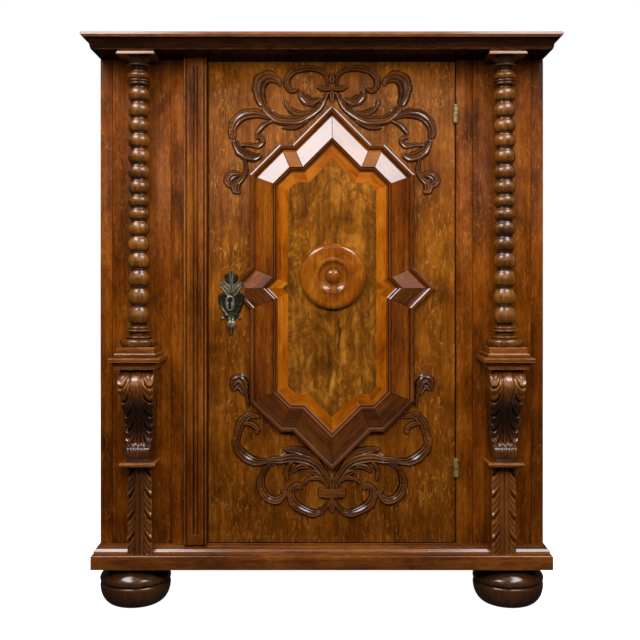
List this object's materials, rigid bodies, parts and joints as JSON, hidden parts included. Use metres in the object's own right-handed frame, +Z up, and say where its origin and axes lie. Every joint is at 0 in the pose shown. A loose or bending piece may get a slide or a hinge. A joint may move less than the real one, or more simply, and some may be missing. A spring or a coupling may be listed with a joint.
{
  "type": "single-door cabinet",
  "caption": "Oak cabinet with a hinged door, mitred raised panel with a turned roundel, scroll carving, bobbin-turned columns on carved consoles, moulded cornice and bun feet.",
  "frame": {"origin": "on the floor, at the middle of the cabinet's bounding box", "axes": "+Z up, the door faces -Y, +X to the right of someone who faces the door"},
  "size_m": [0.984, 0.55, 1.2],
  "materials": {
    "oak_case": "waxed satin",
    "oak_door": "waxed satin",
    "oak_turned": "polished",
    "oak_carved": "waxed",
    "oak_foot": "polished",
    "oak_inside": "bare",
    "walnut_bevel": "polished",
    "cherry_band": "polished",
    "walnut_field": "polished",
    "pear_roundel": "polished",
    "hinge_brass": "aged",
    "plate_brass": "aged cast",
    "lock_iron": "dark",
    "bolt_steel": "worn"
  },
  "bodies": {
    "cabinet": {"base_board": "oak_case", "base_moulding_front": "oak_case", "base_moulding_left": "oak_case", "base_moulding_right": "oak_case", "foot_front_left": "oak_foot", "foot_front_right": "oak_foot", "foot_rear_left": "oak_foot", "foot_rear_right": "oak_foot", "side_left": "oak_case", "side_right": "oak_case", "front_board_left_outer": "oak_case", "front_board_left_inner": "oak_case", "front_board_right_inner": "oak_case", "front_board_right_outer": "oak_case", "sill": "oak_case", "head_rail": "oak_case", "floor_board": "oak_inside", "back_board_left": "oak_inside", "back_board_middle": "oak_inside", "back_board_right": "oak_inside", "shelf_lower": "oak_inside", "shelf_upper": "oak_inside", "shelf_cleats": "oak_inside", "cornice_front": "oak_case", "cornice_left": "oak_case", "cornice_right": "oak_case", "cornice_back": "oak_case", "top_board": "oak_case", "column_left": "oak_turned", "column_right": "oak_turned", "capital_left": "oak_case", "capital_right": "oak_case", "pedestal_left": "oak_case", "pedestal_right": "oak_case", "console_left": "oak_carved", "console_right": "oak_carved", "ledge_left": "oak_case", "ledge_right": "oak_case", "pilaster_left": "oak_carved", "pilaster_right": "oak_carved", "fluted_strip": "oak_case", "lock_keep": "lock_iron", "hinge_frame_leaves": "hinge_brass", "hinge_pins": "hinge_brass", "hinge_screws_frame": "hinge_brass"},
    "door": {"hinge_door_leaves": "hinge_brass", "hinge_screws_door": "hinge_brass", "door_board": "oak_door", "door_battens": "oak_door", "panel_rim": "oak_door", "panel_bevels": "walnut_bevel", "panel_step": "walnut_bevel", "panel_crossband": "cherry_band", "panel_field": "walnut_field", "roundel": "pear_roundel", "carving_top": "oak_carved", "carving_bottom": "oak_carved", "key_plate": "plate_brass", "lock_case": "lock_iron"},
    "lock_bolt": {"lock_bolt": "bolt_steel"}
  },
  "joints": [
    {"name": "door_hinge", "type": "hinge", "parent": "cabinet", "child": "door", "pos_m": [0.287, -0.177, 0.671], "axis": [0, 0, 1], "range_deg": [0, 100]},
    {"name": "lock_bolt_slide", "type": "slide", "parent": "door", "child": "lock_bolt", "axis": [-1, 0, 0], "range_m": [0, 0.012]}
  ]
}
